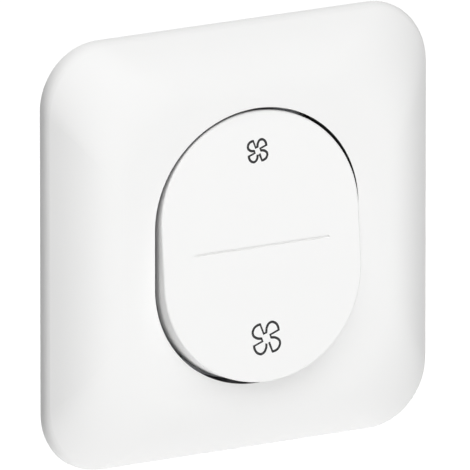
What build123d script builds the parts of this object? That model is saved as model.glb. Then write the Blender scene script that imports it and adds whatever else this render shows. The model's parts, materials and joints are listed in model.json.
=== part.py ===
from build123d import *
from math import asin, cos, degrees, radians, sin
import os

# Two-position wall rocker switch for a two-speed fan: cover plate, rocker, frame and mechanism.
# The wall is the plane y = 0, the front faces -Y and +Z is up. Heights run from the wall into the
# room, depths from the wall into its box. Sizes are in millimetres, angles in degrees.

# Fixing on the wall box
fixing_spacing = 60.0
fixing_slot_length = 8.0
fixing_slot_width = 3.8

# Support frame, a pressed steel sheet
frame_thickness = 1.2
frame_margin = 2.5  # metal past the end of a fixing slot
frame_corner_r = 5.0

# Cover plate, a domed shell
plate_frame_gap = 4.0
plate_wall = 2.0
plate_height = 9.5
plate_corner_r = 12.5
rim_height = 1.6
rim_edge_r = 3.0
flat_margin = 2.4  # flat front past the ends of the opening, inside the curved flank
flat_corner_r = 15.0
flank_steps = 6
opening_width = 45.0
opening_height = 54.4
opening_end_share = 0.956  # rise of its round ends, flatter than half circles
opening_edge_r = 0.2
collar_wall = 1.6
collar_depth = 5.0

# Clips that hold the cover plate on the frame
clip_collar_gap = 0.7
clip_thickness = 1.4
clip_width = 6.0
clip_level = 14.5  # height of a clip's middle above and below the centre
clip_hook = 0.9
clip_hook_length = 1.8
clip_slot_gap = 0.3
seat_gap = 0.05  # between a hook and the face it catches

# Rocker cap
rocker_side_gap = 0.65  # between the rocker and the opening
rocker_end_gap = 0.75  # wider, for its swing
rocker_tilt = 5.3  # from the middle to either end of its swing
rocker_depth = 6.2
rocker_wall = 1.6
rocker_face = 1.5
rocker_edge_r = 0.35
divider_length = 30.0
divider_width = 0.5
divider_depth = 0.3
cap_rib_place = 8.0
cap_rib_thickness = 1.2
cap_rib_end_gap = 4.0

# Legs that hold the rocker cap on the actuator
leg_place = 5.5
leg_level = 8.5
leg_width = 3.0
leg_thickness = 1.2
leg_hook = 0.6
leg_hook_length = 1.2
leg_slot_gap = 0.3

# Rocker bearings
pivot_below_front = 2.0
trunnion_r = 1.2
running_gap = 0.05
ear_wall = 0.65
ear_thickness = 2.0
ear_root_width = 8.0
ear_side_gap = 0.3
snap_width = 1.9  # mouth of the open bearing, narrower than the trunnion
swing_gap = 0.55

# Actuator, the inner rocker
actuator_width = 20.0
actuator_height = 22.0
actuator_thickness = 2.0
actuator_corner_r = 2.0
boss_wall = 1.1
bore_roof = 1.0
gusset_thickness = 1.4
gusset_drop = 3.0

# Plunger and its spring
plunger_r = 2.0
plunger_gap = 0.1
plunger_guide = 4.0  # length held in the bore
plunger_exposed = 2.6
plunger_nose_r = 1.2
plunger_lever_gap = 0.1  # left at the middle of the swing
spring_wire_r = 0.25
spring_wall_gap = 0.3
spring_turns = 5

# Contact lever, a see-saw behind the plunger
lever_depth = 5.0
lever_tilt = 7.5
lever_thickness = 0.8
lever_width = 5.0
lever_end = 1.8  # past the middle of a contact
lever_pin_r = 0.8
lever_pin_proud = 0.2
contact_shank_r = 0.9
contact_shank_gap = 0.02
moving_contact_r = 1.6
moving_contact_height = 0.9
contact_dome_r = 4.0
fixed_contact_r = 1.8
fixed_contact_height = 1.0
fixed_contact_chamfer = 0.2
contact_gap = 0.08
contact_edge = 0.35  # strip past the fixed contact

# Module, the moulded housing of the mechanism, which lines up with the sides of the opening
module_inset = 0.5
module_corner_r = 3.0
module_depth = 22.0
module_wall = 2.0
module_chamfer = 1.2
flange_thickness = 1.5
spigot_gap = 0.3  # between the spigot and the frame's window
window_lip = 0.2  # frame metal past the inside of the module's wall
spigot_wall = 1.6
spigot_depth = 3.0
boss_swing_gap = 0.5

# Hooks that close the housing around the frame
hook_level = 13.0
hook_width = 5.0
hook_thickness = 1.4
hook_depth = 6.0
hook_length = 2.0
hook_bite = 1.1  # reach into the wall
hook_window_gap = 0.4

# Terminals: strip, clamp cage and screw
strip_thickness = 1.0
strip_width = 7.4
bend_r = 1.0  # on the strip's middle line
strip_end_gap = 0.9
cradle_height = 1.2  # ears of the common strip past the lever's axis
cradle_width = 4.0
cradle_side_gap = 0.3
wire_space = 4.4
cage_wall = 1.0
cage_width = 9.8
cage_end_gap = 0.4
cage_strip_gap = 0.45
pocket_gap = 0.3
pocket_rib = 1.2
pedestal_width = 5.0
pedestal_length = 2.0
window_width = 7.8
window_gap = 0.2
window_funnel = 0.7
screw_r = 1.7
screw_gap = 0.05
screw_head_r = 2.8
screw_head_height = 1.8
screw_head_gap = 0.3
screw_slot_width = 0.8
screw_slot_depth = 0.9
driver_gap = 0.4

# Overlap that joins two features of one moulding
bond = 0.4

# Overall sizes
frame_side = fixing_spacing + fixing_slot_length + 2 * frame_margin
plate_side = frame_side + 2 * (plate_frame_gap + plate_wall)
flank_width = (plate_side - opening_height) / 2 - flat_margin
straight_length = opening_height - opening_width * opening_end_share
module_side = opening_width - 2 * module_inset
clip_place = opening_width / 2 + collar_wall + clip_collar_gap + clip_thickness / 2

# Rocker, measured from its pivot axis
pivot_height = plate_height - pivot_below_front
ear_r = trunnion_r + running_gap + ear_wall
inner_face_lift = ear_r + swing_gap
face_lift = inner_face_lift + rocker_face
rocker_width = opening_width - 2 * rocker_side_gap
rocker_height = opening_height - 2 * rocker_end_gap
trunnion_length = ear_side_gap + ear_thickness
plunger_reach = pivot_height + lever_depth - lever_thickness / 2 - plunger_lever_gap
boss_reach = plunger_reach - plunger_exposed
plunger_head = boss_reach - plunger_guide
bore_r = plunger_r + plunger_gap
boss_r = bore_r + boss_wall
bore_end = actuator_thickness / 2 - bore_roof
rocker_sine = sin(radians(rocker_tilt))
rocker_cosine = cos(radians(rocker_tilt))

# Terminals, measured outwards from the mechanism's axis
cavity_half = module_side / 2 - module_wall
cage_outside = cavity_half - cage_end_gap
clamp_face = cage_outside - cage_wall
tongue_outside = clamp_face - wire_space
tongue_inside = tongue_outside - strip_thickness
cage_inside = tongue_inside - cage_wall
fixed_contact_place = tongue_outside - contact_edge - fixed_contact_r

# Contact lever: each moving contact's dome meets its fixed contact at the end of the swing
lever_sine = sin(radians(lever_tilt))
lever_cosine = cos(radians(lever_tilt))
dome_centre_lift = contact_dome_r - moving_contact_height - lever_thickness / 2
moving_contact_place = (fixed_contact_place - dome_centre_lift * lever_sine) / lever_cosine
dome_depth = contact_dome_r - dome_centre_lift * lever_cosine + moving_contact_place * lever_sine
contact_depth = lever_depth + dome_depth + contact_gap
strip_front = contact_depth + fixed_contact_height
strip_back = strip_front + strip_thickness
lever_length = 2 * (moving_contact_place + lever_end)

# Depths in the module
cavity_back = module_depth - module_wall
cage_front = strip_back + cage_strip_gap
cage_back = cavity_back - cage_end_gap
screw_depth = (cage_front + cage_back) / 2
flange_front = frame_thickness + flange_thickness
frame_window = 2 * (cavity_half - window_lip)
spigot_side = frame_window - 2 * spigot_gap

# The three terminals, each with the direction from the axis to its side of the module
terminal_sides = {
    "common": Vector(-1, 0, 0),
    "low_speed": Vector(0, 0, -1),
    "high_speed": Vector(0, 0, 1),
}
to_room = Vector(0, -1, 0)
both_sides = (-1, 1)

# Planes of the rocker and the lever as they stand at rest, with the top of the rocker pressed in
rocker_plane = Plane((0, -pivot_height, 0), x_dir=(1, 0, 0), z_dir=(0, -rocker_cosine, rocker_sine))
rocker_side = Plane(rocker_plane.origin, x_dir=rocker_plane.y_dir, z_dir=rocker_plane.x_dir)
lever_plane = Plane((0, lever_depth, 0), x_dir=(1, 0, 0), z_dir=(0, -lever_cosine, -lever_sine))
lever_side = Plane(lever_plane.origin, x_dir=lever_plane.y_dir, z_dir=lever_plane.x_dir)


def at_height(height):
    """The plane parallel to the wall at this height, facing the room."""
    return Plane.XZ.offset(height)


def at_depth(depth):
    """The plane parallel to the wall at this depth, facing the room."""
    return Plane.XZ.offset(-depth)


def long_round(width, height):
    """Adds the opening's outline, or one parallel to it, to the sketch: straight sides, round ends."""
    Rectangle(width, straight_length)
    with GridLocations(0, straight_length, 1, 2):
        Ellipse(width / 2, (height - straight_length) / 2)


def terminal_plane(side, depth):
    """The plane at this depth with x running out along a terminal's side."""
    return Plane(to_room * -depth, x_dir=side, z_dir=to_room)


def terminal_section(side):
    """The section plane through a terminal: x runs out along its side, y towards the room."""
    return Plane((0, 0, 0), x_dir=side, z_dir=side.cross(to_room))


def screw_plane(side, place):
    """The plane across a terminal screw's axis, at this place along it, facing outwards."""
    return Plane(to_room * -screw_depth + side * place, z_dir=side)


def dome_sections(side, corner_r, width, low, high):
    """Rounded squares that narrow along a parabola, from a rim to a flat front."""
    sections = []
    for step in range(flank_steps + 1):
        share = step / flank_steps
        height = high - (high - low) * (1 - share) ** 2
        square = side - 2 * width * share
        with BuildSketch(at_height(height)) as section:
            RectangleRounded(square, square, corner_r + (flat_corner_r - corner_r) * share)
        sections.append(section.sketch)
    return sections


os.makedirs("parts", exist_ok=True)

# Hollow behind the cover plate's shell, which leaves the collar round the opening
inner_side = plate_side - 2 * plate_wall
inner_corner_r = plate_corner_r - plate_wall
inner_flank = flank_width - plate_wall
inner_height = plate_height - plate_wall
inner_rim = inner_height - (plate_height - rim_height) * inner_flank / flank_width
with BuildPart() as plate_hollow:
    with BuildSketch(at_height(0)):
        RectangleRounded(inner_side, inner_side, inner_corner_r)
    extrude(amount=inner_rim)
    loft(dome_sections(inner_side, inner_corner_r, inner_flank, inner_rim, inner_height))
    with BuildSketch(at_height(plate_height)):
        long_round(opening_width + 2 * collar_wall, opening_height + 2 * collar_wall)
    extrude(amount=-collar_depth, mode=Mode.SUBTRACT)

# Cover plate
with BuildPart() as cover_plate:
    with BuildSketch(at_height(0)):
        RectangleRounded(plate_side, plate_side, plate_corner_r)
    extrude(amount=rim_height)
    loft(dome_sections(plate_side, plate_corner_r, flank_width, rim_height, plate_height))
    rim_edges = cover_plate.edges().filter_by_position(Axis.Y, -rim_height, -rim_height)
    fillet(rim_edges, rim_edge_r)
    add(plate_hollow.part, mode=Mode.SUBTRACT)
    with BuildSketch(at_height(0)):
        long_round(opening_width, opening_height)
    extrude(amount=plate_height, mode=Mode.SUBTRACT)
    fillet(cover_plate.faces().sort_by(Axis.Y)[0].inner_wires().edges(), opening_edge_r)
    with BuildSketch(at_depth(clip_hook_length)):
        with GridLocations(2 * clip_place, 2 * clip_level, 2, 2):
            Rectangle(clip_thickness, clip_width)
    extrude(amount=clip_hook_length + inner_height + bond)
    for side in both_sides:
        clip_face = side * (clip_place + clip_thickness / 2)
        for level in (-clip_level, clip_level):
            with BuildSketch(Plane.XY.offset(level)):
                with BuildLine():
                    Polyline(
                        (clip_face, seat_gap),
                        (clip_face + side * clip_hook, seat_gap),
                        (clip_face, clip_hook_length),
                        close=True,
                    )
                make_face()
            extrude(amount=clip_width / 2, both=True)
cover_plate.part.label = "cover_plate"
export_step(cover_plate.part, "parts/cover_plate.step")

# Support frame
clip_slot_width = clip_thickness + 2 * clip_slot_gap
clip_slot_length = clip_width + 2 * clip_slot_gap
with BuildPart() as support_frame:
    with BuildSketch(at_height(0)):
        RectangleRounded(frame_side, frame_side, frame_corner_r)
        Rectangle(frame_window, frame_window, mode=Mode.SUBTRACT)
        with GridLocations(fixing_spacing, 0, 2, 1):
            SlotOverall(fixing_slot_length, fixing_slot_width, mode=Mode.SUBTRACT)
        with GridLocations(0, fixing_spacing, 1, 2):
            SlotOverall(fixing_slot_length, fixing_slot_width, rotation=90, mode=Mode.SUBTRACT)
        with GridLocations(2 * clip_place, 2 * clip_level, 2, 2):
            Rectangle(clip_slot_width, clip_slot_length, mode=Mode.SUBTRACT)
    extrude(amount=frame_thickness)
support_frame.part.label = "support_frame"
export_step(support_frame.part, "parts/support_frame.step")

# Rocker cap, hollow, with ribs and legs inside
cap_front = Axis(rocker_plane.origin, rocker_plane.z_dir)
with BuildPart() as rocker_cap:
    with BuildSketch(rocker_plane.offset(face_lift)):
        long_round(rocker_width, rocker_height)
    extrude(amount=-rocker_depth)
    fillet(rocker_cap.faces().sort_by(cap_front)[-1].edges(), rocker_edge_r)
    with BuildSketch(rocker_plane.offset(inner_face_lift)):
        long_round(rocker_width - 2 * rocker_wall, rocker_height - 2 * rocker_wall)
    extrude(amount=rocker_face - rocker_depth, mode=Mode.SUBTRACT)
    with BuildSketch(rocker_plane.offset(actuator_thickness / 2)):
        with GridLocations(2 * cap_rib_place, 0, 2, 1):
            Rectangle(cap_rib_thickness, rocker_height - 2 * (rocker_wall + cap_rib_end_gap))
    extrude(amount=inner_face_lift - actuator_thickness / 2 + bond)
    leg_reach = actuator_thickness / 2 + leg_hook_length
    with BuildSketch(rocker_plane.offset(-leg_reach)):
        with GridLocations(2 * leg_place, 2 * leg_level, 2, 2):
            Rectangle(leg_width, leg_thickness)
    extrude(amount=leg_reach + inner_face_lift + bond)
    for side in both_sides:
        leg_face = side * (leg_level + leg_thickness / 2)
        leg_catch = -actuator_thickness / 2 - seat_gap
        for place in (-leg_place, leg_place):
            with BuildSketch(rocker_side.offset(place)):
                with BuildLine():
                    Polyline(
                        (leg_face, leg_catch),
                        (leg_face + side * leg_hook, leg_catch),
                        (leg_face, -leg_reach),
                        close=True,
                    )
                make_face()
            extrude(amount=leg_width / 2, both=True)
    with BuildSketch(rocker_plane.offset(face_lift)):
        SlotOverall(divider_length, divider_width)
    extrude(amount=-divider_depth, mode=Mode.SUBTRACT)
rocker_cap.part.label = "rocker_cap"
export_step(rocker_cap.part, "parts/rocker_cap.step")

# Rocker actuator: plate with trunnions, and a boss that guides the plunger
with BuildPart() as rocker_actuator:
    with BuildSketch(rocker_plane.offset(-actuator_thickness / 2)):
        RectangleRounded(actuator_width, actuator_height, actuator_corner_r)
    extrude(amount=actuator_thickness)
    with BuildSketch(rocker_plane.offset(-boss_reach)):
        Circle(boss_r)
    extrude(amount=boss_reach)
    with BuildSketch(rocker_side):
        with BuildLine():
            Polyline(
                (-actuator_height / 2 + actuator_corner_r, 0),
                (actuator_height / 2 - actuator_corner_r, 0),
                (boss_r, -actuator_thickness / 2 - gusset_drop),
                (-boss_r, -actuator_thickness / 2 - gusset_drop),
                close=True,
            )
        make_face()
    extrude(amount=gusset_thickness / 2, both=True)
    for side in both_sides:
        with BuildSketch(rocker_side.offset(side * (actuator_width / 2 - bond))):
            Circle(trunnion_r)
        extrude(amount=side * (trunnion_length + bond))
    with BuildSketch(rocker_plane.offset(-boss_reach)):
        Circle(bore_r)
    extrude(amount=boss_reach + bore_end, mode=Mode.SUBTRACT)
    with BuildSketch(rocker_plane.offset(-actuator_thickness / 2)):
        with GridLocations(2 * leg_place, 2 * leg_level, 2, 2):
            Rectangle(leg_width + 2 * leg_slot_gap, leg_thickness + 2 * leg_slot_gap)
    extrude(amount=actuator_thickness, mode=Mode.SUBTRACT)
rocker_actuator.part.label = "rocker_actuator"
export_step(rocker_actuator.part, "parts/rocker_actuator.step")

# Plunger with a round nose
nose_centre = plunger_nose_r - plunger_reach
with BuildPart() as plunger:
    with BuildSketch(rocker_side):
        with BuildLine():
            Polyline(
                (0, -plunger_reach),
                (0, -plunger_head),
                (plunger_r, -plunger_head),
                (plunger_r, -boss_reach),
                (plunger_nose_r, nose_centre),
            )
            CenterArc((0, nose_centre), plunger_nose_r, -90, 90)
        make_face()
    revolve(axis=Axis(rocker_plane.origin, rocker_plane.z_dir))
plunger.part.label = "plunger"
export_step(plunger.part, "parts/plunger.step")

# Plunger spring, between the end of the bore and the plunger
spring_r = bore_r - spring_wall_gap - spring_wire_r
spring_inset = spring_wire_r + seat_gap
spring_length = plunger_head + bore_end - 2 * spring_inset
spring_start = rocker_plane.from_local_coords(Vector(0, 0, spring_inset - plunger_head))
with BuildPart() as plunger_spring:
    with BuildLine() as coil:
        Helix(
            pitch=spring_length / spring_turns,
            height=spring_length,
            radius=spring_r,
            center=spring_start,
            direction=rocker_plane.z_dir,
        )
    with BuildSketch(Plane(coil.line @ 0, z_dir=coil.line % 0)):
        Circle(spring_wire_r)
    sweep(path=coil.line, is_frenet=True)
plunger_spring.part.label = "plunger_spring"
export_step(plunger_spring.part, "parts/plunger_spring.step")

# Contact lever: a strip with round ends and a pivot pin on each edge
lever_pin_length = cradle_side_gap + strip_thickness + lever_pin_proud
with BuildPart() as contact_lever:
    with BuildSketch(lever_plane.offset(-lever_thickness / 2)):
        SlotOverall(lever_length, lever_width, rotation=90)
        with GridLocations(0, 2 * moving_contact_place, 1, 2):
            Circle(contact_shank_r + contact_shank_gap, mode=Mode.SUBTRACT)
    extrude(amount=lever_thickness)
    for side in both_sides:
        with BuildSketch(lever_side.offset(side * (lever_width / 2 - bond))):
            Circle(lever_pin_r)
        extrude(amount=side * (lever_pin_length + bond))
    with BuildSketch(lever_plane.offset(lever_thickness / 2)):
        Rectangle(lever_width, 2 * lever_pin_r)
    extrude(amount=lever_pin_r, mode=Mode.SUBTRACT)
    with BuildSketch(lever_plane.offset(-lever_thickness / 2)):
        Rectangle(lever_width, 2 * lever_pin_r)
    extrude(amount=-lever_pin_r, mode=Mode.SUBTRACT)
contact_lever.part.label = "contact_lever"
export_step(contact_lever.part, "parts/contact_lever.step")

# Moving contact tips: domed rivets near the lever's ends
dome_angle = degrees(asin(moving_contact_r / contact_dome_r))
dome_edge = dome_centre_lift - contact_dome_r * cos(radians(dome_angle))
with BuildPart() as moving_contact_tips:
    for side in both_sides:
        place = side * moving_contact_place
        with BuildSketch(lever_side):
            with BuildLine():
                Polyline(
                    (place, dome_centre_lift - contact_dome_r),
                    (place, lever_thickness / 2),
                    (place + contact_shank_r, lever_thickness / 2),
                    (place + contact_shank_r, -lever_thickness / 2),
                    (place + moving_contact_r, -lever_thickness / 2),
                    (place + moving_contact_r, dome_edge),
                )
                CenterArc((place, dome_centre_lift), contact_dome_r, -90, dome_angle)
            make_face()
        revolve(axis=Axis(lever_side.from_local_coords(Vector(place, 0, 0)), lever_plane.z_dir))
moving_contact_tips.part.label = "moving_contact_tips"
export_step(moving_contact_tips.part, "parts/moving_contact_tips.step")

# Fixed contact tips: flat rivets on the two speed strips
with BuildPart() as fixed_contact_tips:
    with BuildSketch(at_depth(strip_front)):
        with GridLocations(0, 2 * fixed_contact_place, 1, 2):
            Circle(fixed_contact_r)
    extrude(amount=fixed_contact_height)
    chamfer(
        fixed_contact_tips.faces().group_by(Axis.Y)[0].edges(),
        fixed_contact_chamfer,
    )
    with BuildSketch(at_depth(strip_back)):
        with GridLocations(0, 2 * fixed_contact_place, 1, 2):
            Circle(contact_shank_r)
    extrude(amount=strip_thickness)
fixed_contact_tips.part.label = "fixed_contact_tips"
export_step(fixed_contact_tips.part, "parts/fixed_contact_tips.step")

# Terminal strips: each runs out along its side and folds back into its clamp
strip_level = -(strip_front + strip_back) / 2
tongue_place = (tongue_inside + tongue_outside) / 2
tongue_end = -(cage_back - strip_end_gap)
cradle_outside = lever_width / 2 + cradle_side_gap + strip_thickness
for name in ("low_speed", "high_speed"):
    side = terminal_sides[name]
    with BuildPart() as speed_terminal:
        with BuildSketch(terminal_section(side)):
            with BuildLine() as fold:
                FilletPolyline(
                    (fixed_contact_place - fixed_contact_r - contact_edge, strip_level),
                    (tongue_place, strip_level),
                    (tongue_place, tongue_end),
                    radius=bend_r,
                )
            trace(fold.line, strip_thickness)
        extrude(amount=strip_width / 2, both=True)
        with BuildSketch(terminal_plane(side, strip_back)):
            with Locations((fixed_contact_place, 0)):
                Circle(contact_shank_r + contact_shank_gap)
        extrude(amount=strip_thickness, mode=Mode.SUBTRACT)
    speed_terminal.part.label = f"{name}_terminal"
    export_step(speed_terminal.part, f"parts/{name}_terminal.step")

# Common terminal: its strip carries the cradle that the lever rocks in
with BuildPart() as common_terminal:
    with BuildSketch(terminal_section(terminal_sides["common"])):
        with BuildLine() as common_fold:
            FilletPolyline(
                (-cradle_outside, strip_level),
                (tongue_place, strip_level),
                (tongue_place, tongue_end),
                radius=bend_r,
            )
        trace(common_fold.line, strip_thickness)
    extrude(amount=strip_width / 2, both=True)
    cradle_front = lever_depth - cradle_height
    for side in both_sides:
        with BuildSketch(Plane.YZ.offset(side * cradle_outside)):
            with Locations(((cradle_front + strip_back) / 2, 0)):
                Rectangle(strip_back - cradle_front, cradle_width)
            with Locations((lever_depth, 0)):
                Circle(lever_pin_r + running_gap, mode=Mode.SUBTRACT)
            with Locations((lever_depth - cradle_height / 2, 0)):
                Rectangle(cradle_height, 2 * (lever_pin_r + running_gap), mode=Mode.SUBTRACT)
        extrude(amount=-side * strip_thickness)
common_terminal.part.label = "common_terminal"
export_step(common_terminal.part, "parts/common_terminal.step")

# Clamp cages and their screws
for name, side in terminal_sides.items():
    with BuildPart() as clamp:
        with BuildSketch(terminal_plane(side, cage_back)):
            with Locations(((cage_inside + cage_outside) / 2, 0)):
                Rectangle(cage_outside - cage_inside, cage_width)
            with Locations(((tongue_inside + clamp_face) / 2, 0)):
                Rectangle(clamp_face - tongue_inside, cage_width - 2 * cage_wall, mode=Mode.SUBTRACT)
        extrude(amount=cage_back - cage_front)
        with BuildSketch(screw_plane(side, clamp_face)):
            Circle(screw_r + screw_gap)
        extrude(amount=cage_wall, mode=Mode.SUBTRACT)
    clamp.part.label = f"{name}_clamp"
    export_step(clamp.part, f"parts/{name}_clamp.step")

    head_under = cage_outside + screw_head_gap
    with BuildPart() as screw:
        with BuildSketch(screw_plane(side, clamp_face)):
            Circle(screw_r)
        extrude(amount=head_under - clamp_face)
        with BuildSketch(screw_plane(side, head_under)):
            Circle(screw_head_r)
        extrude(amount=screw_head_height)
        with BuildSketch(screw_plane(side, head_under + screw_head_height)):
            Rectangle(2 * screw_head_r, screw_slot_width)
        extrude(amount=-screw_slot_depth, mode=Mode.SUBTRACT)
    screw.part.label = f"{name}_screw"
    export_step(screw.part, f"parts/{name}_screw.step")

# Module base: an open box with a pocket for each clamp and a pedestal under each strip
rib_place = cage_width / 2 + pocket_gap + pocket_rib / 2
rib_inside = cage_inside - pocket_gap
hook_end = hook_depth + hook_length
with BuildPart() as mechanism_base:
    with BuildSketch(at_depth(module_depth)):
        RectangleRounded(module_side, module_side, module_corner_r)
    extrude(amount=module_depth)
    chamfer(mechanism_base.faces().sort_by(Axis.Y)[-1].edges(), module_chamfer)
    with BuildSketch(at_depth(cavity_back)):
        RectangleRounded(2 * cavity_half, 2 * cavity_half, module_corner_r - module_wall)
    extrude(amount=cavity_back, mode=Mode.SUBTRACT)
    for name, side in terminal_sides.items():
        with BuildSketch(terminal_plane(side, cavity_back + bond)):
            for edge in both_sides:
                with Locations(((rib_inside + cavity_half + bond) / 2, edge * rib_place)):
                    Rectangle(cavity_half + bond - rib_inside, pocket_rib)
        extrude(amount=cavity_back + bond - strip_back)
        pedestal_start = rib_inside - pedestal_length
        if name == "common":
            pedestal_start = -cradle_outside
        with BuildSketch(terminal_plane(side, cavity_back + bond)):
            with Locations(((pedestal_start + rib_inside) / 2, 0)):
                Rectangle(rib_inside - pedestal_start, pedestal_width)
        extrude(amount=cavity_back + bond - strip_back)
        with BuildSketch(terminal_plane(side, module_depth)):
            with Locations(((tongue_outside + clamp_face + window_gap) / 2, 0)):
                Rectangle(wire_space + window_gap, window_width)
        extrude(amount=module_wall, mode=Mode.SUBTRACT)
        with BuildSketch(screw_plane(side, cavity_half)):
            Circle(screw_head_r + driver_gap)
        extrude(amount=module_wall, mode=Mode.SUBTRACT)
    back_face = mechanism_base.faces().sort_by(Axis.Y)[-1]
    chamfer(back_face.inner_wires().edges(), window_funnel)
    hook_window_mid = -(hook_depth + hook_end) / 2
    for side in both_sides:
        with BuildSketch(Plane.YZ.offset(side * cavity_half)):
            with GridLocations(0, 2 * hook_level, 1, 2):
                with Locations((-hook_window_mid, 0)):
                    Rectangle(hook_length + 2 * hook_window_gap, hook_width + 2 * hook_window_gap)
        extrude(amount=side * module_wall, mode=Mode.SUBTRACT)
mechanism_base.part.label = "mechanism_base"
export_step(mechanism_base.part, "parts/mechanism_base.step")

# Module cover: a flange on the frame, a spigot into the base, hooks and the rocker's bearings
spigot_half = spigot_side / 2
boss_swing = (pivot_height - frame_thickness) * rocker_sine
ear_inside = actuator_width / 2 + ear_side_gap
with BuildPart() as mechanism_cover:
    with BuildSketch(at_height(frame_thickness)):
        RectangleRounded(module_side, module_side, module_corner_r)
    extrude(amount=flange_thickness)
    with BuildSketch(at_depth(spigot_depth)):
        Rectangle(spigot_side, spigot_side)
        Rectangle(spigot_side - 2 * spigot_wall, spigot_side - 2 * spigot_wall, mode=Mode.SUBTRACT)
    extrude(amount=spigot_depth + frame_thickness + bond)
    with BuildSketch(at_height(frame_thickness)):
        Rectangle(2 * (boss_r + boss_swing_gap), 2 * (boss_r + boss_swing + boss_swing_gap))
    extrude(amount=flange_thickness, mode=Mode.SUBTRACT)
    for side in both_sides:
        with BuildSketch(Plane.YZ.offset(side * ear_inside)):
            with Locations((-pivot_height, 0)):
                Circle(ear_r)
            with BuildLine():
                Polyline(
                    (-pivot_height, -ear_r),
                    (-pivot_height, ear_r),
                    (bond - flange_front, ear_root_width / 2),
                    (bond - flange_front, -ear_root_width / 2),
                    close=True,
                )
            make_face()
            with Locations((-pivot_height, 0)):
                Circle(trunnion_r + running_gap, mode=Mode.SUBTRACT)
            with Locations((-pivot_height - ear_r / 2, 0)):
                Rectangle(ear_r, snap_width, mode=Mode.SUBTRACT)
        extrude(amount=side * ear_thickness)
        hook_face = side * spigot_half
        with BuildSketch(at_depth(hook_end)):
            with Locations((hook_face - side * hook_thickness / 2, 0)):
                with GridLocations(0, 2 * hook_level, 1, 2):
                    Rectangle(hook_thickness, hook_width)
        extrude(amount=hook_end)
        hook_tip = side * (cavity_half + hook_bite)
        for level in (-hook_level, hook_level):
            with BuildSketch(Plane.XY.offset(level)):
                with BuildLine():
                    Polyline(
                        (hook_face, hook_depth),
                        (hook_tip, hook_depth),
                        (hook_face, hook_end),
                        close=True,
                    )
                make_face()
            extrude(amount=hook_width / 2, both=True)
mechanism_cover.part.label = "mechanism_cover"
export_step(mechanism_cover.part, "parts/mechanism_cover.step")
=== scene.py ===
# Looks of a two-position wall rocker switch for a two-speed fan.
# Everything is in metres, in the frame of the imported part: the wall is y = 0 and the front faces -Y.
import json
from math import cos, radians, sin

import bpy
from mathutils import Matrix, Vector


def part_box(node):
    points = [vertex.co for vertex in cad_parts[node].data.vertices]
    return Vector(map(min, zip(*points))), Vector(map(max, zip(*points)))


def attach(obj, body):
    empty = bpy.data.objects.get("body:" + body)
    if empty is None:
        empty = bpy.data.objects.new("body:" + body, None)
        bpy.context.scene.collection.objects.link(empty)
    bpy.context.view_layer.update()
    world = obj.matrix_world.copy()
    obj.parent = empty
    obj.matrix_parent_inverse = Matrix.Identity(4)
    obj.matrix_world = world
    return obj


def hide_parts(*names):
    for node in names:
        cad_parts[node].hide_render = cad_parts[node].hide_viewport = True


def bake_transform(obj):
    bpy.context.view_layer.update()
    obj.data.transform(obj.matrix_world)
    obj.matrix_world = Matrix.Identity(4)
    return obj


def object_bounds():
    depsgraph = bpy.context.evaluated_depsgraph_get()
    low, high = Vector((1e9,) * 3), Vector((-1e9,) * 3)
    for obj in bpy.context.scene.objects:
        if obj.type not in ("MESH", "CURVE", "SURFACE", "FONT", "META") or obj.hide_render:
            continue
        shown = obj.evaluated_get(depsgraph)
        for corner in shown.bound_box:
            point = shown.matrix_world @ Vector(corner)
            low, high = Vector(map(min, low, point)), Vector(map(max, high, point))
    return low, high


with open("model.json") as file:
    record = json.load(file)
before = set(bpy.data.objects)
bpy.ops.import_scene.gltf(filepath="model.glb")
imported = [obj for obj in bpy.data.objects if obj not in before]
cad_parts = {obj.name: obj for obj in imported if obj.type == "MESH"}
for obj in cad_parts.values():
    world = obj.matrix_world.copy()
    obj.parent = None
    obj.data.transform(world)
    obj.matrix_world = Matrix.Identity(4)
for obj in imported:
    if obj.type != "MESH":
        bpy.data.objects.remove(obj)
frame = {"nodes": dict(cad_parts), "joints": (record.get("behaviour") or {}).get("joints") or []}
cad_low, cad_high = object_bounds()
nodes = frame["nodes"]
joints = {joint["name"]: joint for joint in frame["joints"]}
mm = 0.001

# Camera: the switch seen from the left and a little above, almost without perspective
view_azimuth = radians(-30.2)
view_elevation = radians(14.9)
picture_width = 90.37 * mm
aim_right = 0.56 * mm
aim_up = -0.06 * mm
lens = 1700.0
sensor = 36.0
view_limit = 20.0

# Light: a surround with a bright upright band in front, and a soft panel at the upper left
band_strength = 1.83
band_falloff = 7.0  # how soon the band fades towards the sides
band_drop = 0.57  # how much brighter the band is below than above
side_strength = 0.03
panel_azimuth = radians(-25)
panel_elevation = radians(54)
panel_distance = 1.5
panel_size = 1.6
panel_power = 14.8
floor_drop = 100 * mm
floor_size = 8.0
floor_tone = 0.8
floor_lift = 0.6

# Skin of the mouldings: clouds where the melt flowed, and the grain of the mould
cloud_scale = 70.0
cloud_detail = 3.0
grain_detail = 2.0

# Skin of the metals: lines along the rolling, and patches of stain that are a little rougher
line_detail = 1.5
mottle_scale = 260.0
mottle_detail = 5.0
patch_start = 0.42
patch_full = 0.68
patch_roughening = 0.5
line_depth = 0.002 * mm
noise_middle = 0.5

# Opening of the cover plate: half its width, half its straight sides and the rise of its round ends
opening_half_width = 22.5 * mm
opening_half_straight = 5.69 * mm
opening_end_rise = 21.51 * mm
# Painted shade on the wall of the opening: where it begins past the opening's edge, how soon it fades, and
# its near-black colour, which stands in for the shade deep in the gap
opening_edge = 0.05 * mm
opening_fade = 0.05 * mm
opening_painted_shade = (0.02, 0.02, 0.02)

# Fan signs printed on the rocker
small_sign_level = 18.6 * mm
large_sign_level = -17.95 * mm
small_sign_r = 2.18 * mm
large_sign_r = 3.07 * mm
sign_thickness = 0.03 * mm
sign_stroke = 0.5 * mm
stroke_roundness = 2
stroke_smoothness = 10

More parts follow.
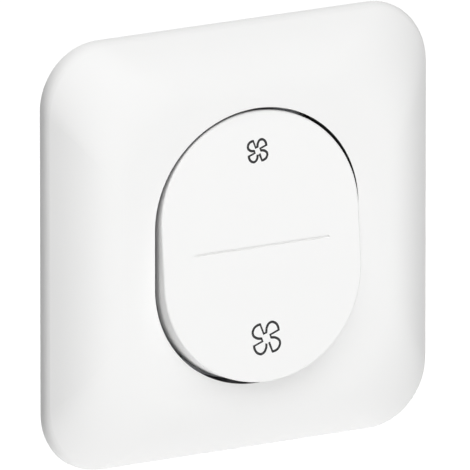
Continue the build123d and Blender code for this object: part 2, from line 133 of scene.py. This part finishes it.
# One fan blade from its root to its heel: radius as a share of its tip's, degrees from its tip, handles
blade_count = 4
first_blade = 3  # the blade that the stroke starts on
blade_turn = 23.5
blade_outline = [
    (0.34, 8, "VECTOR"),
    (1.0, 0, "VECTOR"),
    (1.08, 14, "AUTO"),
    (1.11, 30, "AUTO"),
    (1.01, 47, "AUTO"),
    (0.7, 60, "AUTO"),
    (0.35, 65, "VECTOR"),
]

# Terminal marks moulded on the back
mark_height = 3.6 * mm
mark_relief = 0.2 * mm
mark_place = 10.2 * mm
terminal_marks = {"common": "L", "low_speed": "1", "high_speed": "2"}

# Plunger's spring
merge_distance = 0.001 * mm
smooth_angle = radians(40)


def deselect_all():
    """Leaves nothing selected, so that an operator acts on the new piece alone."""
    for thing in bpy.context.selected_objects:
        thing.select_set(False)


def add_node(tree, kind, sockets=None, **settings):
    """A new node with its settings, and its sockets set to values or linked to other nodes' outputs."""
    node = tree.nodes.new(kind)
    for name, value in settings.items():
        setattr(node, name, value)
    for name, value in (sockets or {}).items():
        if isinstance(value, bpy.types.NodeSocket):
            tree.links.new(value, node.inputs[name])
        else:
            node.inputs[name].default_value = value
    return node


def calculate(tree, operation, *values):
    """The result of one sum on values or on other nodes' outputs."""
    sockets = dict(enumerate(values))
    return add_node(tree, "ShaderNodeMath", sockets, operation=operation).outputs[0]


def noise(tree, place, scale, detail):
    """A noise from 0 to 1 that changes over the surface."""
    sockets = {"Vector": place, "Scale": scale, "Detail": detail}
    return add_node(tree, "ShaderNodeTexNoise", sockets).outputs["Fac"]


def new_group(name, inputs, outputs):
    """An empty shader node group with named sockets: the group, its inputs and its output node."""
    group = bpy.data.node_groups.new(name, "ShaderNodeTree")
    for socket, kind in inputs.items():
        group.interface.new_socket(socket, in_out="INPUT", socket_type=kind)
    for socket, kind in outputs.items():
        group.interface.new_socket(socket, in_out="OUTPUT", socket_type=kind)
    taken = group.nodes.new("NodeGroupInput").outputs
    return group, taken, group.nodes.new("NodeGroupOutput")


def moulded_skin_group():
    """The skin of a moulding: a fine grain from the mould, and faint clouds where the melt flowed."""
    group, taken, given = new_group(
        "moulded_skin",
        {
            "Place": "NodeSocketVector",
            "Colour": "NodeSocketColor",
            "Clouding": "NodeSocketFloat",
            "Roughness": "NodeSocketFloat",
            "Unevenness": "NodeSocketFloat",
            "Grain": "NodeSocketFloat",
        },
        {"Colour": "NodeSocketColor", "Roughness": "NodeSocketFloat", "Height": "NodeSocketFloat"},
    )
    clouds = noise(group, taken["Place"], cloud_scale, cloud_detail)
    grain = noise(group, taken["Place"], taken["Grain"], grain_detail)
    centred = calculate(group, "SUBTRACT", clouds, noise_middle)
    tone = calculate(group, "MULTIPLY_ADD", centred, taken["Clouding"], 1.0)
    tinted = add_node(
        group, "ShaderNodeVectorMath", {0: taken["Colour"], "Scale": tone}, operation="SCALE"
    )
    centred_grain = calculate(group, "SUBTRACT", grain, noise_middle)
    spread = calculate(group, "ADD", centred, centred_grain)
    roughness = calculate(group, "MULTIPLY_ADD", spread, taken["Unevenness"], taken["Roughness"])
    group.links.new(tinted.outputs["Vector"], given.inputs["Colour"])
    group.links.new(roughness, given.inputs["Roughness"])
    group.links.new(grain, given.inputs["Height"])
    return group


def drawn_metal_group():
    """The skin of rolled or drawn metal: fine lines along the rolling, and a mottled plating or tarnish."""
    group, taken, given = new_group(
        "drawn_metal",
        {
            "Place": "NodeSocketVector",
            "Lines": "NodeSocketVector",
            "Colour": "NodeSocketColor",
            "Stain": "NodeSocketColor",
            "Staining": "NodeSocketFloat",
            "Roughness": "NodeSocketFloat",
            "Unevenness": "NodeSocketFloat",
        },
        {"Colour": "NodeSocketColor", "Roughness": "NodeSocketFloat", "Height": "NodeSocketFloat"},
    )
    stretched = add_node(
        group, "ShaderNodeVectorMath", {0: taken["Place"], 1: taken["Lines"]}, operation="MULTIPLY"
    ).outputs["Vector"]
    lines = noise(group, stretched, 1.0, line_detail)
    mottle = noise(group, taken["Place"], mottle_scale, mottle_detail)
    patches = add_node(
        group, "ShaderNodeMapRange", {"Value": mottle, "From Min": patch_start, "From Max": patch_full}
    )
    stained = calculate(group, "MULTIPLY", patches.outputs["Result"], taken["Staining"])
    colour = add_node(
        group,
        "ShaderNodeMix",
        {"Factor": stained, "A": taken["Colour"], "B": taken["Stain"]},
        data_type="RGBA",
    )
    centred = calculate(group, "SUBTRACT", lines, noise_middle)
    spread = calculate(group, "MULTIPLY_ADD", stained, patch_roughening, centred)
    roughness = calculate(group, "MULTIPLY_ADD", spread, taken["Unevenness"], taken["Roughness"])
    group.links.new(colour.outputs["Result"], given.inputs["Colour"])
    group.links.new(roughness, given.inputs["Roughness"])
    group.links.new(lines, given.inputs["Height"])
    return group


def new_material(name):
    """A material with its node tree and its Principled shader."""
    material = bpy.data.materials.new(name)
    material.use_nodes = True
    return material, material.node_tree, material.node_tree.nodes["Principled BSDF"]


def object_place(tree):
    """Where a point of the surface is, in the frame of the part."""
    return add_node(tree, "ShaderNodeTexCoord").outputs["Object"]


def apply_skin(tree, shader, group, sockets, depth):
    """Puts a skin on a shader: its colour, its roughness and a relief of the given depth."""
    skin = add_node(
        tree, "ShaderNodeGroup", {"Place": object_place(tree), **sockets}, node_tree=group
    ).outputs
    relief = {"Height": skin["Height"], "Strength": 1.0, "Distance": depth}
    bump = add_node(tree, "ShaderNodeBump", relief)
    tree.links.new(skin["Colour"], shader.inputs["Base Color"])
    tree.links.new(skin["Roughness"], shader.inputs["Roughness"])
    tree.links.new(bump.outputs["Normal"], shader.inputs["Normal"])
    return skin


def moulded(name, colour, clouding, roughness, unevenness, grain, grain_depth, specular):
    """A moulded plastic, and its skin for a finish that adds to it."""
    material, tree, shader = new_material(name)
    sockets = {
        "Colour": (*colour, 1),
        "Clouding": clouding,
        "Roughness": roughness,
        "Unevenness": unevenness,
        "Grain": grain,
    }
    skin = apply_skin(tree, shader, moulded_skin, sockets, grain_depth)
    shader.inputs["Specular IOR Level"].default_value = specular
    return material, skin


def drawn(name, colour, stain, staining, roughness, unevenness, lines):
    """A rolled or drawn metal."""
    material, tree, shader = new_material(name)
    sockets = {
        "Lines": lines,
        "Colour": (*colour, 1),
        "Stain": (*stain, 1),
        "Staining": staining,
        "Roughness": roughness,
        "Unevenness": unevenness,
    }
    apply_skin(tree, shader, drawn_metal, sockets, line_depth)
    shader.inputs["Metallic"].default_value = 1.0
    return material


def opening_shade_mask(tree):
    """A mask of 1 on the wall of the plate's opening, where shade is painted, and 0 elsewhere."""
    place = add_node(tree, "ShaderNodeSeparateXYZ", {"Vector": object_place(tree)}).outputs
    height = calculate(tree, "ABSOLUTE", place["Z"])
    past_straight = calculate(tree, "SUBTRACT", height, opening_half_straight)
    end_stretch = opening_half_width / opening_end_rise
    rise = calculate(tree, "MULTIPLY", calculate(tree, "MAXIMUM", past_straight, 0.0), end_stretch)
    sideways = calculate(tree, "MULTIPLY", place["X"], place["X"])
    reach = calculate(tree, "SQRT", calculate(tree, "MULTIPLY_ADD", rise, rise, sideways))
    mask = add_node(
        tree,
        "ShaderNodeMapRange",
        {
            "Value": reach,
            "From Min": opening_half_width + opening_edge,
            "From Max": opening_half_width + opening_edge + opening_fade,
            "To Min": 1.0,
            "To Max": 0.0,
        },
    )
    return mask.outputs["Result"]


def paint_opening_shade(material, skin):
    """Paints shade on the wall of the plate's opening, deep beside the rocker: a near-black colour in place
    of the shade in the gap.
    """
    tree = material.node_tree
    colour = add_node(
        tree,
        "ShaderNodeMix",
        {"Factor": opening_shade_mask(tree), "A": skin["Colour"], "B": (*opening_painted_shade, 1)},
        data_type="RGBA",
    )
    tree.links.new(colour.outputs["Result"], tree.nodes["Principled BSDF"].inputs["Base Color"])


def dress(node_names, material):
    """Gives carried-over pieces their finish."""
    for name in node_names:
        nodes[name].material_slots[0].material = material


moulded_skin = moulded_skin_group()
drawn_metal = drawn_metal_group()

plate_white, plate_skin = moulded(
    "plate_white",
    colour=(0.89, 0.89, 0.885),
    clouding=0.02,
    roughness=0.5,
    unevenness=0.08,
    grain=2600.0,
    grain_depth=0.004 * mm,
    specular=0.3,
)
# Painted shade: the wall of the plate's opening is coloured near-black
paint_opening_shade(plate_white, plate_skin)
rocker_white, _ = moulded(
    "rocker_white",
    colour=(0.91, 0.91, 0.905),
    clouding=0.015,
    roughness=0.45,
    unevenness=0.06,
    grain=2600.0,
    grain_depth=0.003 * mm,
    specular=0.3,
)
housing_charcoal, _ = moulded(
    "housing_charcoal",
    colour=(0.035, 0.036, 0.038),
    clouding=0.25,
    roughness=0.55,
    unevenness=0.25,
    grain=3200.0,
    grain_depth=0.02 * mm,
    specular=0.5,
)
natural_plastic, _ = moulded(
    "natural_plastic",
    colour=(0.68, 0.64, 0.54),
    clouding=0.1,
    roughness=0.45,
    unevenness=0.15,
    grain=1400.0,
    grain_depth=0.008 * mm,
    specular=0.5,
)
sign_ink, _ = moulded(
    "sign_ink",
    colour=(0.012, 0.012, 0.013),
    clouding=0.4,
    roughness=0.45,
    unevenness=0.2,
    grain=5200.0,
    grain_depth=0.004 * mm,
    specular=0.4,
)
zinc_steel = drawn(
    "zinc_steel",
    colour=(0.66, 0.67, 0.69),
    stain=(0.54, 0.57, 0.61),
    staining=0.5,
    roughness=0.39,
    unevenness=0.14,
    lines=(25, 1300, 1300),
)
screw_steel = drawn(
    "screw_steel",
    colour=(0.64, 0.64, 0.62),
    stain=(0.55, 0.52, 0.42),
    staining=0.6,
    roughness=0.36,
    unevenness=0.12,
    lines=(1500, 1500, 1500),
)
spring_steel = drawn(
    "spring_steel",
    colour=(0.42, 0.42, 0.43),
    stain=(0.3, 0.29, 0.28),
    staining=0.5,
    roughness=0.38,
    unevenness=0.12,
    lines=(2200, 900, 2200),
)
brass = drawn(
    "brass",
    colour=(0.78, 0.57, 0.24),
    stain=(0.6, 0.4, 0.16),
    staining=0.6,
    roughness=0.36,
    unevenness=0.12,
    lines=(1300, 1300, 25),
)
contact_silver = drawn(
    "contact_silver",
    colour=(0.84, 0.83, 0.8),
    stain=(0.6, 0.57, 0.52),
    staining=0.4,
    roughness=0.36,
    unevenness=0.1,
    lines=(1500, 1500, 1500),
)
dress(["cover_plate"], plate_white)
dress(["rocker_cap"], rocker_white)
dress(["mechanism_base", "mechanism_cover"], housing_charcoal)
dress(["rocker_actuator", "plunger"], natural_plastic)
dress(["support_frame", "common_clamp", "low_speed_clamp", "high_speed_clamp"], zinc_steel)
dress(["common_screw", "low_speed_screw", "high_speed_screw"], screw_steel)
dress(["plunger_spring"], spring_steel)
dress(["contact_lever", "common_terminal", "low_speed_terminal", "high_speed_terminal"], brass)
dress(["moving_contact_tips", "fixed_contact_tips"], contact_silver)


def fan_sign(name, level, radius):
    """A fan printed in outline: one open stroke round its blades, flat on the rocker's face."""
    corners = []
    for blade in range(blade_count):
        turn = blade_turn + 360 / blade_count * (blade + first_blade)
        for share, angle, handle in blade_outline:
            reach = radius * share
            bearing = radians(turn + angle)
            corners.append((Vector((reach * cos(bearing), reach * sin(bearing), 0)), handle))
    deselect_all()
    bpy.ops.curve.primitive_bezier_curve_add()
    sign = bpy.context.object
    sign.name = name
    stroke = sign.data.splines[0]
    stroke.bezier_points.add(len(corners) - len(stroke.bezier_points))
    for point, (place, handle) in zip(stroke.bezier_points, corners):
        point.co = place
        point.handle_left_type = handle
        point.handle_right_type = handle
    sign.data.bevel_depth = sign_stroke / 2
    sign.data.bevel_resolution = stroke_roundness
    sign.data.resolution_u = stroke_smoothness
    sign.data.use_fill_caps = True
    bpy.ops.object.convert(target="MESH")
    sign = bpy.context.object
    flatten = Matrix.Diagonal((1, 1, sign_thickness / sign_stroke, 1))
    sign.data.transform(rocker_face @ Matrix.Translation((0, level, 0)) @ flatten)
    sign.data.materials.append(sign_ink)
    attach(sign, "rocker")


def terminal_mark(terminal, sign):
    """A raised figure or letter on the back, beside the way in to a terminal."""
    low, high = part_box(terminal + "_clamp")
    middle = (low + high) / 2
    inward = mark_place / Vector((middle.x, middle.z)).length
    deselect_all()
    bpy.ops.object.text_add()
    mark = bpy.context.object
    mark.name = terminal + "_mark"
    mark.data.body = sign
    mark.data.align_x = "CENTER"
    mark.data.align_y = "CENTER"
    mark.data.size = mark_height
    mark.data.extrude = mark_relief
    bpy.ops.object.convert(target="MESH")
    mark = bpy.context.object
    on_back = Matrix((Vector((-1, 0, 0)), Vector((0, 0, 1)), Vector((0, 1, 0)))).transposed().to_4x4()
    place = Vector((middle.x * inward, cad_high.y, middle.z * inward))
    mark.data.transform(Matrix.Translation(place) @ on_back)
    mark.data.materials.append(housing_charcoal)
    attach(mark, "housing")


def squeezed_spring():
    """The plunger's spring: a copy of the carried-over piece with its points merged and smooth shading, in
    place of the hidden original.
    """
    deselect_all()
    spring = bpy.data.objects.new("squeezed_spring", nodes["plunger_spring"].data.copy())
    bpy.context.scene.collection.objects.link(spring)
    bpy.context.view_layer.objects.active = spring
    spring.select_set(True)
    bpy.ops.object.mode_set(mode="EDIT")
    bpy.ops.mesh.select_all(action="SELECT")
    bpy.ops.mesh.remove_doubles(threshold=merge_distance)
    bpy.ops.object.mode_set(mode="OBJECT")
    bpy.ops.object.shade_smooth_by_angle(angle=smooth_angle)
    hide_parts("plunger_spring")
    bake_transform(spring)


# The rocker's face: its middle, the way up along it and the way out of it
tilt = radians(joints["rocker_tilt"]["range_deg"][1]) / 2
out = Vector((0, -cos(tilt), sin(tilt)))
up = Vector((0, sin(tilt), cos(tilt)))
pivot = Vector(joints["rocker_tilt"]["pos_m"])
face_lift = max((vertex.co - pivot).dot(out) for vertex in nodes["rocker_cap"].data.vertices)
face_middle = pivot + out * face_lift
rocker_face = Matrix.Translation(face_middle) @ Matrix((Vector((1, 0, 0)), up, out)).transposed().to_4x4()
fan_sign("low_speed_sign", small_sign_level, small_sign_r)
fan_sign("high_speed_sign", large_sign_level, large_sign_r)
for terminal_name, terminal_sign in terminal_marks.items():
    terminal_mark(terminal_name, terminal_sign)
squeezed_spring()


def seen_rays(tree):
    """A value of 1 for rays that show a surface: camera, glossy and transmission rays."""
    path = add_node(tree, "ShaderNodeLightPath").outputs
    shown = calculate(tree, "MAXIMUM", path["Is Camera Ray"], path["Is Glossy Ray"])
    return calculate(tree, "MAXIMUM", shown, path["Is Transmission Ray"])


def make_world():
    """A surround that lights the switch by a bright upright band, and shows as white."""
    world = bpy.data.worlds.new("surround")
    world.use_nodes = True
    bpy.context.scene.world = world
    tree = world.node_tree
    direction = add_node(tree, "ShaderNodeTexCoord").outputs["Generated"]
    towards_point = add_node(tree, "ShaderNodeSeparateXYZ", {"Vector": direction}).outputs
    sideways = calculate(tree, "MULTIPLY", towards_point["X"], towards_point["X"])
    band = calculate(tree, "POWER", calculate(tree, "SUBTRACT", 1.0, sideways), band_falloff)
    slope = calculate(tree, "MULTIPLY_ADD", towards_point["Z"], -band_drop, 1.0)
    sloped_band = calculate(tree, "MULTIPLY", band, slope)
    light = calculate(tree, "MULTIPLY_ADD", sloped_band, band_strength, side_strength)
    strength = add_node(tree, "ShaderNodeMix", {"Factor": seen_rays(tree), "A": light, "B": 1.0})
    background = tree.nodes["Background"]
    background.inputs["Color"].default_value = (1, 1, 1, 1)
    tree.links.new(strength.outputs["Result"], background.inputs["Strength"])


def make_floor():
    """A pale floor below the switch, white where no shadow falls, open from underneath and to the light."""
    deselect_all()
    bpy.ops.mesh.primitive_plane_add(size=floor_size, location=(0, 0, cad_low.z - floor_drop))
    floor = bpy.context.object
    floor.name = "floor"
    material, tree, shader = new_material("floor_white")
    shader.inputs["Base Color"].default_value = (floor_tone, floor_tone, floor_tone, 1)
    shader.inputs["Roughness"].default_value = 1.0
    shader.inputs["Specular IOR Level"].default_value = 0.0
    shader.inputs["Emission Color"].default_value = (1, 1, 1, 1)
    seen = seen_rays(tree)
    tree.links.new(calculate(tree, "MULTIPLY", seen, floor_lift), shader.inputs["Emission Strength"])
    below = add_node(tree, "ShaderNodeNewGeometry").outputs["Backfacing"]
    shown = calculate(tree, "MULTIPLY", calculate(tree, "SUBTRACT", 1.0, below), seen)
    nothing = add_node(tree, "ShaderNodeBsdfTransparent").outputs["BSDF"]
    surface = add_node(tree, "ShaderNodeMixShader", {0: shown, 1: nothing, 2: shader.outputs["BSDF"]})
    tree.links.new(surface.outputs["Shader"], tree.nodes["Material Output"].inputs["Surface"])
    floor.data.materials.append(material)


def towards(azimuth, elevation):
    """The direction from the switch to a place in front of it, azimuth to the right and elevation up."""
    return Vector((sin(azimuth) * cos(elevation), -cos(azimuth) * cos(elevation), sin(elevation)))


def make_panel():
    """A broad soft light at the upper left that faces the switch."""
    lamp = bpy.data.lights.new("panel", "AREA")
    lamp.size = panel_size
    lamp.energy = panel_power
    panel = bpy.data.objects.new("panel", lamp)
    panel.location = towards(panel_azimuth, panel_elevation) * panel_distance
    panel.rotation_euler = (-panel.location).to_track_quat("-Z", "Y").to_euler()
    panel.visible_camera = False
    bpy.context.scene.collection.objects.link(panel)


def make_camera():
    """A long lens at the photograph's viewing angle."""
    back = towards(view_azimuth, view_elevation)
    right = Vector((cos(view_azimuth), sin(view_azimuth), 0))
    upward = back.cross(right)
    camera_data = bpy.data.cameras.new("camera")
    camera_data.lens = lens
    camera_data.sensor_width = sensor
    camera_data.clip_end = view_limit
    camera = bpy.data.objects.new("camera", camera_data)
    distance = picture_width * lens / sensor
    camera.location = right * aim_right + upward * aim_up + back * distance
    camera.rotation_euler = (-back).to_track_quat("-Z", "Y").to_euler()
    bpy.context.scene.collection.objects.link(camera)
    bpy.context.scene.camera = camera


make_world()
make_floor()
make_panel()
make_camera()
bpy.context.scene.view_settings.view_transform = "Standard"
